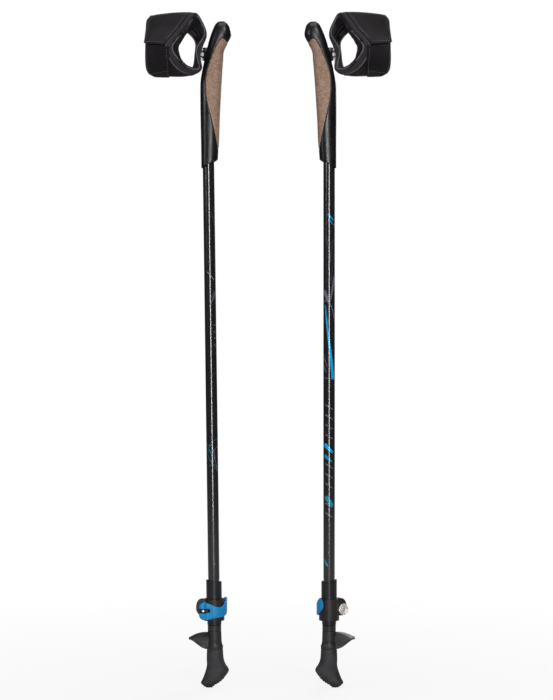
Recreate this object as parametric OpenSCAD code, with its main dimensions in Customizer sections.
// A pair of telescopic Nordic walking poles with lever locks, cork grips,
// padded hand straps, one-leaf baskets and rubber paws, shown collapsed.
// Every pole is drawn in its own frame: z runs up the shaft from the paw's
// sole, +x points towards the other pole, and -y is the lever's side.

/* [Pair] */
// Distance between the two feet
foot_gap = 158.2; // [120:0.2:260]
// Lean of the left pole away from the right one, in degrees
left_lean = 0.75; // [0:0.05:2]
// Shift of the pair that centres its box on the origin, across
pair_shift_x = 5.9; // [-20:0.1:20]
// Shift of the pair that centres its box on the origin, front to back
pair_shift_y = 20.4; // [-40:0.1:40]

/* [Shafts] */
// Outer diameter of the upper shaft
upper_d = 16; // [16:0.1:16.4]
// Wall of both tubes
tube_wall = 0.8; // [0.6:0.05:0.8]
// Outer diameter of the lower shaft
lower_d = 14; // [13.8:0.1:14]
// Top end of the upper shaft, inside the grip
upper_top = 838; // [800:1:840]
// Length of the lower shaft
lower_len = 590; // [520:1:620]

/* [Grip] */
// Depth of the cork inlay
cork_t = 3.4; // [2:0.1:3.6]
// Radius of the relief that clears the shaft at the grip's mouth
mouth_r = 8.8; // [8.7:0.05:9]

/* [Lock] */
// Outer radius of the lock's collar
collar_r = 10.8; // [10.4:0.1:11.2]
// Outer radius of the clamp band
band_r = 14; // [13.6:0.1:14]
// Turn of the left lock about its shaft, in degrees
left_lock_turn = 8; // [0:1:40]
// Turn of the right lock about its shaft, in degrees
right_lock_turn = 27; // [0:1:40]
// Height of the tension screw
screw_z = 108; // [106:0.5:110]

/* [Strap] */
// Thickness of the padded cuff
cuff_t = 5; // [3.5:0.1:6]
// Thickness of the flap and of the closing tab
tab_t = 2.2; // [1.5:0.1:3]

/* [Hidden] */

eps = 0.01;
fine = 96;
upper_r = upper_d / 2;
upper_in = upper_r - tube_wall;
seat_r = upper_r - 0.3;       // the bonded ends of the upper shaft are turned down
lower_r = lower_d / 2;
run_gap = 0.05;               // radial clearance of every running fit
upper_bottom = 99;
seat_low = 151;               // the full diameter starts above the collar
seat_high = 740;              // and ends inside the grip's mouth
mouth_top = 745;
lower_bottom = 60;

black = "#1b1b1e";
dark_grey = "#3a3a3e";
steel = "#b9b7b2";

// ---- curves ----

function cubic(p0, p1, p2, p3, t) =
  0.5 * (2 * p1 + (p2 - p0) * t + (2 * p0 - 5 * p1 + 4 * p2 - p3) * t * t
         + (3 * p1 - p0 - 3 * p2 + p3) * t * t * t);

// Point of a smooth open curve through the points, s from 0 to the last index
function along(points, s) =
  let (last = len(points) - 1, c = min(max(s, 0), last), i = min(floor(c), last - 1))
  cubic(points[max(i - 1, 0)], points[i], points[i + 1], points[min(i + 2, last)], c - i);

// Point of a smooth closed curve through the points
function around(points, s) =
  let (n = len(points), i = floor(s))
  cubic(points[(i + n - 1) % n], points[i % n], points[(i + 1) % n], points[(i + 2) % n], s - i);

function signed_power(v, p) = sign(v) * pow(abs(v), p);

// ---- meshes ----

// Two triangles for each cell between two neighbouring rings
function ring_faces(a, b, sides) = [
  for (j = [0 : sides - 1]) let (k = (j + 1) % sides)
    each [[a + j, b + j, b + k], [a + j, b + k, a + k]]
];

// End of a skin, closed by a strip of cells between the two halves of its ring
function strip_end(start, sides) = [
  for (j = [0 : sides / 2 - 2])
    [start + j, start + j + 1, start + sides - 2 - j, start + sides - 1 - j]
];

function turned(list) = [for (k = [len(list) - 1 : -1 : 0]) list[k]];

// Solid through rings of equal, even length, each ring counter-clockwise from above
module skin(rings) {
  sides = len(rings[0]);
  last = len(rings) - 1;
  polyhedron(
    points = [for (ring = rings) each ring],
    faces = [
      each strip_end(0, sides),
      for (face = strip_end(last * sides, sides)) turned(face),
      for (i = [0 : last - 1]) each ring_faces(i * sides, (i + 1) * sides, sides)
    ]);
}

// Closed band whose rings follow one another round its wall
module band_skin(rings) {
  sides = len(rings[0]);
  count = len(rings);
  polyhedron(
    points = [for (ring = rings) each ring],
    faces = [
      for (i = [0 : count - 1])
        each ring_faces(i * sides, ((i + 1) % count) * sides, sides)
    ]);
}

// Solid whose sections are level: each station is [z, rear x, front x, half width]
module level_loft(stations, steps, sides, power, inset = 0) {
  last = len(stations) - 1;
  skin([
    for (k = [0 : steps])
      let (st = along(stations, k * last / steps),
           mid = (st[1] + st[2]) / 2,
           a = max((st[2] - st[1]) / 2 - inset, 0.3),
           b = max(st[3] - inset, 0.3))
      [for (j = [0 : sides - 1])
        let (q = 360 * j / sides)
        [mid + a * signed_power(cos(q), 2 / power), b * signed_power(sin(q), 2 / power), st[0]]]
  ]);
}

module tube(r_out, r_in, z0, z1) {
  translate([0, 0, z0])
    difference() {
      cylinder(r = r_out, h = z1 - z0, $fn = fine);
      translate([0, 0, -1]) cylinder(r = r_in, h = z1 - z0 + 2, $fn = fine);
    }
}

// ---- grip ----

grip_stations = [
  [715, -9.9, 12.2, 10.4], [732, -9.9, 13.1, 10.8], [760, -9.9, 15.2, 11.4],
  [788, -10.1, 16.4, 12.2], [816, -10.1, 18.1, 12.8], [844, -9.2, 20.0, 12.2],
  [871, -3.8, 22.2, 11.4], [883, -1.0, 23.4, 11.4], [894, 1.8, 28.5, 12.2],
  [905, 5.2, 34.0, 12.8], [915, 9.2, 33.2, 11.6], [921, 12.4, 30.6, 8.6],
  [924.2, 16.0, 26.6, 4.4]
];
// Rear edge of the cork as [x, z], from its lower point over the top to the chin
cork_edge = [
  [16.5, 738], [14.9, 745], [10.7, 766], [5, 790], [0, 811], [-2.1, 829], [-1.9, 845],
  [1.4, 860], [7.5, 876], [13.9, 890], [21.5, 899.5], [31, 893], [40, 884]
];
lug_z = [870.5, 888.5];
pin_x = -2.5;
pin_r = 1.25;
lug_r = 3.2;
eye_r = 2.6;
eye_z = [875.2, 883.8];

module grip_shell(inset = 0) {
  level_loft(grip_stations, 30, 28, 2.3, inset);
}

module cork_zone() {
  steps = 36;
  edge = [for (k = [0 : steps]) along(cork_edge, k * (len(cork_edge) - 1) / steps)];
  translate([0, 20, 0]) rotate([90, 0, 0])
    linear_extrude(height = 40) polygon(concat(edge, [[48, 884], [48, 738]]));
}

module lug_block() {
  translate([0, 0, lug_z[0]])
    union() {
      translate([pin_x, 0, 0]) cylinder(r = lug_r, h = lug_z[1] - lug_z[0], $fn = 64);
      translate([pin_x, -lug_r, 0]) cube([7.5, 2 * lug_r, lug_z[1] - lug_z[0]]);
    }
}

module grip_cork() {
  color("#a57c5e") difference() {
    intersection() {
      grip_shell();
      cork_zone();
    }
    grip_shell(cork_t);
  }
}

module grip_body() {
  color(black) difference() {
    grip_shell();
    difference() {
      cork_zone();
      grip_shell(cork_t);
    }
    // the mouth is cut on a slant that rises towards the front
    translate([0, 0, 726.5]) rotate([0, -27, 0]) translate([-40, -40, -40]) cube([80, 80, 40]);
    translate([0, 0, 700]) cylinder(r = mouth_r, h = mouth_top - 700, $fn = fine);
    translate([0, 0, 700]) cylinder(r = seat_r, h = upper_top - 700, $fn = fine);
    lug_block();
  }
}

module strap_lug() {
  color(black) difference() {
    lug_block();
    // open fork for the cord's eye
    translate([pin_x - 5, -5, eye_z[0] - 0.3]) cube([8.1, 10, eye_z[1] - eye_z[0] + 0.6]);
    strap_pin();
  }
}

module strap_pin() {
  color(steel) translate([pin_x, 0, lug_z[0] + 1.2]) cylinder(r = pin_r, h = 15.6, $fn = 48);
}

// ---- strap ----

// Rim nearest the thumb, from the grip's side up over the top and back below
cuff_near = [
  [-12, -4, 884], [-2, -3, 905], [-6, -7, 921], [-15.5, -18, 931], [-32, -39, 907],
  [-47.5, -59, 881.5], [-38, -47, 862.5], [-22.5, -28, 853.5], [-9, -15.5, 857.5]
];
cuff_far = [
  [-14, 8, 883], [-16, 9, 903], [-39, 8, 921], [-77, -2, 929.5], [-82.5, -7, 912],
  [-82.5, -8, 894], [-81.5, -8, 857.5], [-66, -4, 853], [-23, 6, 855]
];
// How far the lining inside the near rim swells towards the loop's middle, as a share
liner_share = [0, 0, 0, 0.12, 0.34, 0.36, 0.2, 0.12, 0.07];
near_middle = [-20.6, -24.4, 889.8];
far_middle = [-53, 0.2, 892.2];
cuff_turns = len(cuff_near);
cuff_swell = 1.7;             // how far the middle of the wall stands proud
flap_q = 5.0;                 // place of the flap's free edge round the loop

// Point of the cuff's mid-wall: q counts round the loop, s runs from near rim to far rim
function cuff_mid(q, s) =
  around(cuff_near, q) * (1 - s) + around(cuff_far, q) * s;

function unit(v) = v / norm(v);

// Outward direction of the cuff's wall
function cuff_out(q, s) =
  let (h = 0.05,
       dq = cuff_mid((q + h) % cuff_turns, s)
            - cuff_mid((q + cuff_turns - h) % cuff_turns, s),
       ds = cuff_mid(q, min(s + h, 1)) - cuff_mid(q, max(s - h, 0)))
  unit(cross(ds, dq));

// Point a distance d outside the mid-wall, with the wall swelling half way along
function cuff_at(q, s, d) =
  let (w = (q + cuff_turns) % cuff_turns)
  cuff_mid(w, s) + cuff_out(w, s) * (d + 4 * cuff_swell * s * (1 - s));

// Point of the cuff's inner face, which the lining swells near its rim
function cuff_inside(q, s) =
  let (p = cuff_at(q, s, -cuff_t / 2),
       share = max(around(liner_share, q % cuff_turns), 0) * max(cos(90 * s / 0.55), 0))
  p + (near_middle * (1 - s) + far_middle * s - p) * share;

module strap_cuff() {
  sides = 54;
  outer = [0, 0.25, 0.5, 0.75, 1];
  inner = [1, 0.75, 0.5, 0.25, 0.1, 0];
  color(black) band_skin([
    for (s = outer)
      [for (j = [0 : sides - 1]) cuff_at(cuff_turns * j / sides, s, cuff_t / 2)],
    for (s = inner)
      [for (j = [0 : sides - 1]) cuff_inside(cuff_turns * j / sides, s)]
  ]);
}

// Patch of sheet laid on the cuff between two places round it. Its near edge is
// given by three terms in the distance from the flap's free edge.
module cuff_patch(q0, q1, near, s1) {
  rows = 18;
  cols = 4;
  low = cuff_t / 2 + 0.6;
  function row(q, d) =
    let (u = q - flap_q, s0 = near[0] + near[1] * u + near[2] * u * u)
    [for (c = [0 : cols]) cuff_at(q, s0 + (s1 - s0) * c / cols, d)];
  skin([
    for (k = [0 : rows]) let (q = q0 + (q1 - q0) * k / rows)
      concat(row(q, low), turned(row(q, low + tab_t)))
  ]);
}

module strap_flap() {
  color("#222225") cuff_patch(flap_q - 0.05, 3.1, [0.06, 0, 0], 0.97);
}

module strap_tab() {
  color("#26262a") cuff_patch(7.1, flap_q + 0.05, [-0.06, 0.225, 0.075], 0.93);
}

module strap_cord() {
  strand_r = 1.1;
  color("#202022") difference() {
    union() {
      translate([pin_x, 0, eye_z[0]]) cylinder(r = eye_r, h = eye_z[1] - eye_z[0], $fn = 48);
      // two strands from the eye to the webbing end
      for (z = [eye_z[0] + strand_r + 0.35, eye_z[1] - strand_r - 0.35])
        translate([pin_x, 0, z]) rotate([0, -90, 0]) cylinder(r = strand_r, h = 4.6, $fn = 24);
      // webbing end sewn to the cuff
      translate([pin_x - 5.0, -1.8, 871.5]) cube([1.1, 3.6, 16]);
    }
    translate([pin_x, 0, eye_z[0] - 1])
      cylinder(r = pin_r + run_gap, h = eye_z[1] - eye_z[0] + 2, $fn = 48);
  }
}

// ---- shafts ----

module upper_shaft() {
  color(black) difference() {
    union() {
      translate([0, 0, upper_bottom]) cylinder(r = seat_r, h = upper_top - upper_bottom, $fn = fine);
      translate([0, 0, seat_low]) cylinder(r = upper_r, h = seat_high - seat_low, $fn = fine);
    }
    translate([0, 0, upper_bottom - 1])
      cylinder(r = upper_in, h = upper_top - upper_bottom + 2, $fn = fine);
  }
}

module lower_shaft() {
  color("#2b2b2f") tube(lower_r, lower_r - tube_wall, lower_bottom, lower_bottom + lower_len);
}

module guide_bush() {
  top = lower_bottom + lower_len;
  color("#d8d8d4") difference() {
    union() {
      translate([0, 0, top]) cylinder(r = upper_in - run_gap, h = 14, $fn = fine);
      translate([0, 0, top - 18]) cylinder(r = lower_r - tube_wall, h = 18 + eps, $fn = fine);
    }
    translate([0, 0, top - 19]) cylinder(r = 3.2, h = 40, $fn = 48);
  }
}

// ---- lock ----

groove_r = 10.2;
sleeve_z = [87, 150];
band_z = [93, 123];
screw_x = -17;
lever_pin_y = -11.6;
lever_pin_r = 3.2;
knuckle_r = 5.6;
screw_r = 2;
ear_y = 5.2;
nut_y = [6.3, 11.8];
nut_r = 7.8;

module screw_hole(r, y0, y1) {
  translate([screw_x, y1, screw_z]) rotate([90, 0, 0]) cylinder(r = r, h = y1 - y0, $fn = 48);
}

module lock_sleeve() {
  color(black) difference() {
    union() {
      translate([0, 0, sleeve_z[0]]) cylinder(r = 9.8, h = 8, $fn = fine);
      translate([0, 0, band_z[0]]) cylinder(r = groove_r, h = 30, $fn = fine);
      translate([0, 0, band_z[1]])
        cylinder(r = collar_r, h = sleeve_z[1] - band_z[1], $fn = fine);
    }
    // slanted top edge, higher at the back
    translate([0, 0, 147.8]) rotate([0, 8, 0]) translate([-20, -20, 0]) cube([40, 40, 20]);
    translate([0, 0, upper_bottom]) cylinder(r = seat_r, h = 80, $fn = fine);
    translate([0, 0, sleeve_z[0] - 1]) cylinder(r = lower_r + run_gap, h = 30, $fn = fine);
    // slit that lets the band squeeze the sleeve onto the lower shaft
    translate([-20, -0.8, sleeve_z[0] - 1]) cube([15, 1.6, 38]);
  }
}

module lock_band() {
  color("#242426") difference() {
    union() {
      translate([0, 0, band_z[0]])
        cylinder(r = band_r, h = band_z[1] - band_z[0], $fn = fine);
      // ears that the screw draws together, rounded at their outer end
      translate([0, ear_y, 0]) rotate([90, 0, 0])
        linear_extrude(height = 2 * ear_y)
          union() {
            translate([-17.5, 99]) square([8, 24]);
            translate([-17, 111]) scale([0.66, 1]) circle(r = 12, $fn = 64);
          }
    }
    translate([0, 0, band_z[0] - 1])
      cylinder(r = groove_r, h = band_z[1] - band_z[0] + 2, $fn = fine);
    translate([-30, -0.8, band_z[0] - 1]) cube([22, 1.6, 40]);
    screw_hole(screw_r + 0.3, -20, 20);
    // round seats for the nut and its washer, and for the cam plate
    screw_hole(nut_r + 0.4, ear_y, 30);
    screw_hole(nut_r, -30, -ear_y);
  }
}

module cam_plate() {
  color(steel) difference() {
    screw_hole(nut_r - 0.4, -ear_y - 0.7, -ear_y);
    screw_hole(screw_r + 0.3, -20, 20);
  }
}

module lever_pin() {
  color(steel) difference() {
    translate([screw_x, lever_pin_y, 96.5]) cylinder(r = lever_pin_r, h = 23, $fn = 64);
    screw_hole(screw_r, -20, 0);
  }
}

module tension_screw() {
  color("#d9d9d6") screw_hole(screw_r, -16.4, 10.4);
}

module nut_washer() {
  color(steel) difference() {
    screw_hole(6, ear_y, nut_y[0] - 0.1);
    screw_hole(screw_r + 0.3, 0, 20);
  }
}

module thumb_nut() {
  flutes = 20;
  color("#cfc9c0") difference() {
    screw_hole(nut_r, nut_y[0], nut_y[1]);
    for (k = [0 : flutes - 1])
      translate([screw_x, 0, screw_z]) rotate([0, 360 * k / flutes, 0])
        translate([nut_r + 0.35, nut_y[1] + 1, 0]) rotate([90, 0, 0])
          cylinder(r = 0.8, h = 8, $fn = 16);
    screw_hole(screw_r + run_gap, 0, nut_y[1] - 1.2);
    screw_hole(3, nut_y[1] - 1.4, 20);
  }
}

// Side outline of the lever as [x, z]
lever_edge = [
  [-22.8, 113], [-20, 119], [-15, 120.6], [-9, 118], [0.4, 113.6], [6, 112.6], [10.5, 114.4],
  [12.8, 120], [14.5, 126], [17, 125.6], [18.8, 118], [19, 109], [16.5, 101.5], [9, 98.6],
  [0.4, 98], [-7, 95.6], [-14, 94.6], [-20, 96.4], [-22.8, 102]
];

module lock_lever() {
  steps = 76;
  arm_in = band_r + 0.3;
  arm_out = band_r + 3.5;
  outline = [for (k = [0 : steps - 1]) around(lever_edge, k * len(lever_edge) / steps)];
  color("#0b8fd0") difference() {
    intersection() {
      union() {
        rotate([0, 0, -143])
          rotate_extrude(angle = 180, $fn = fine)
            translate([arm_in, 90]) square([arm_out - arm_in, 40]);
        translate([screw_x, lever_pin_y, 90]) cylinder(r = knuckle_r, h = 40, $fn = 64);
      }
      translate([0, 30, 0]) rotate([90, 0, 0]) linear_extrude(height = 60) polygon(outline);
    }
    translate([screw_x, lever_pin_y, 80])
      cylinder(r = lever_pin_r + run_gap, h = 60, $fn = 64);
    // window that lets the lever swing round the screw
    translate([-30, -30, screw_z - 3.2]) cube([22.5, 27, 6.4]);
  }
}

// ---- lower end ----

neck_r = 7.6;
nose_r = 6.4;
hub_z = [54.3, 78];

module ferrule() {
  color("#2f2f33") difference() {
    rotate_extrude($fn = fine)
      polygon([[0, 24], [4.6, 24], [nose_r, 28], [nose_r, 54.4], [neck_r, 55.6],
               [neck_r, hub_z[1] + 0.3], [9.4, hub_z[1] + 0.3], [9.4, 85.5], [8.6, 86.7],
               [0, 86.7]]);
    translate([0, 0, lower_bottom]) cylinder(r = lower_r, h = 40, $fn = fine);
    translate([0, 0, 23]) cylinder(r = 3, h = 17, $fn = 48);
  }
}

module carbide_tip() {
  color("#8d8f92") rotate_extrude($fn = 48)
    polygon([[0, 14.2], [1.7, 13.2], [3, 23.5], [3, 40], [0, 40]]);
}

// Half width and ridge height of the basket's leaf at each place along it
leaf_line = [
  [-8.4, 17.2, 76.6], [-13, 18.7, 76.8], [-20, 19, 76], [-27, 16.5, 73.8], [-32.5, 11, 71],
  [-35.8, 4, 68.8]
];

module basket() {
  cols = 10;
  rows = 12;
  leaf_t = 2.4;
  // one row across the leaf, which bends down more steeply near the hub
  function leaf_row(k, drop) =
    let (p = along(leaf_line, k * (len(leaf_line) - 1) / rows),
         bend = max(0.012, 0.077 + 0.0019 * p[0]))
    [for (j = [0 : cols])
      let (y = p[1] * (2 * j / cols - 1)) [p[0], y, p[2] - bend * y * y - drop]];
  bore_r = neck_r + run_gap;
  color(dark_grey) union() {
    rotate_extrude($fn = fine)
      polygon([[bore_r, hub_z[0]], [11.6, hub_z[0]], [11.6, 57.5], [9.9, 63], [9.6, 70],
               [9.5, hub_z[1]], [bore_r, hub_z[1]]]);
    skin([for (k = [0 : rows]) concat(leaf_row(k, 0), turned(leaf_row(k, leaf_t)))]);
  }
}

paw_stations = [
  [0, -13, -3.5, 5.5], [2.8, -17, -0.6, 8.6], [6.5, -19.8, 5.8, 10.2], [11.1, -17.6, 11.3, 10.8],
  [15.3, -15.8, 14.5, 11], [19.5, -14.3, 17.6, 11], [23.6, -12.9, 19.3, 11],
  [27.8, -11.8, 17.6, 11], [32, -11.2, 14.8, 11.2], [40, -11.4, 12.2, 11.4], [54, -11, 11.4, 11.2]
];
washer_z = [11.2, 12.6];

module rubber_paw() {
  color("#2c2c30") difference() {
    level_loft(paw_stations, 26, 28, 2.3);
    translate([0, 0, 23.6]) cylinder(r = nose_r + run_gap, h = 40, $fn = fine);
    translate([0, 0, washer_z[1]]) cylinder(r = 3.1, h = 20, $fn = 48);
    translate([0, 0, washer_z[0]]) cylinder(r = 5, h = washer_z[1] - washer_z[0], $fn = 48);
  }
}

module paw_washer() {
  color(steel) translate([0, 0, washer_z[0]])
    cylinder(r = 5, h = washer_z[1] - washer_z[0], $fn = 48);
}

// ---- placing ----

module left() {
  translate([pair_shift_x - foot_gap / 2, pair_shift_y, 0]) rotate([0, -left_lean, 0]) children();
}

module right() {
  translate([pair_shift_x + foot_gap / 2, pair_shift_y, 0]) rotate([0, 0, 180]) children();
}

module left_lock() {
  left() rotate([0, 0, left_lock_turn]) children();
}

module right_lock() {
  right() rotate([0, 0, right_lock_turn]) children();
}

// The right strap is the mirror image of the left one
module right_strap() {
  right() mirror([0, 1, 0]) children();
}

left() grip_body();  // left_grip_body
left() grip_cork();  // left_grip_cork
left() strap_lug();  // left_strap_lug
left() strap_pin();  // left_strap_pin
left() strap_cord();  // left_strap_cord
left() strap_cuff();  // left_strap_cuff
left() strap_flap();  // left_strap_flap
left() strap_tab();  // left_strap_tab
left() upper_shaft();  // left_upper_shaft
left() lower_shaft();  // left_lower_shaft
left() guide_bush();  // left_guide_bush
left_lock() lock_sleeve();  // left_lock_sleeve
left_lock() lock_band();  // left_lock_band
left_lock() cam_plate();  // left_cam_plate
left_lock() lever_pin();  // left_lever_pin
left_lock() tension_screw();  // left_tension_screw
left_lock() nut_washer();  // left_nut_washer
left_lock() thumb_nut();  // left_thumb_nut
left_lock() lock_lever();  // left_lock_lever
left() ferrule();  // left_ferrule
left() carbide_tip();  // left_carbide_tip
left() basket();  // left_basket
left() rubber_paw();  // left_rubber_paw
left() paw_washer();  // left_paw_washer
right() grip_body();  // right_grip_body
right() grip_cork();  // right_grip_cork
right() strap_lug();  // right_strap_lug
right() strap_pin();  // right_strap_pin
right_strap() strap_cord();  // right_strap_cord
right_strap() strap_cuff();  // right_strap_cuff
right_strap() strap_flap();  // right_strap_flap
right_strap() strap_tab();  // right_strap_tab
right() upper_shaft();  // right_upper_shaft
right() lower_shaft();  // right_lower_shaft
right() guide_bush();  // right_guide_bush
right_lock() lock_sleeve();  // right_lock_sleeve
right_lock() lock_band();  // right_lock_band
right_lock() cam_plate();  // right_cam_plate
right_lock() lever_pin();  // right_lever_pin
right_lock() tension_screw();  // right_tension_screw
right_lock() nut_washer();  // right_nut_washer
right_lock() thumb_nut();  // right_thumb_nut
right_lock() lock_lever();  // right_lock_lever
right() ferrule();  // right_ferrule
right() carbide_tip();  // right_carbide_tip
right() basket();  // right_basket
right() rubber_paw();  // right_rubber_paw
right() paw_washer();  // right_paw_washer
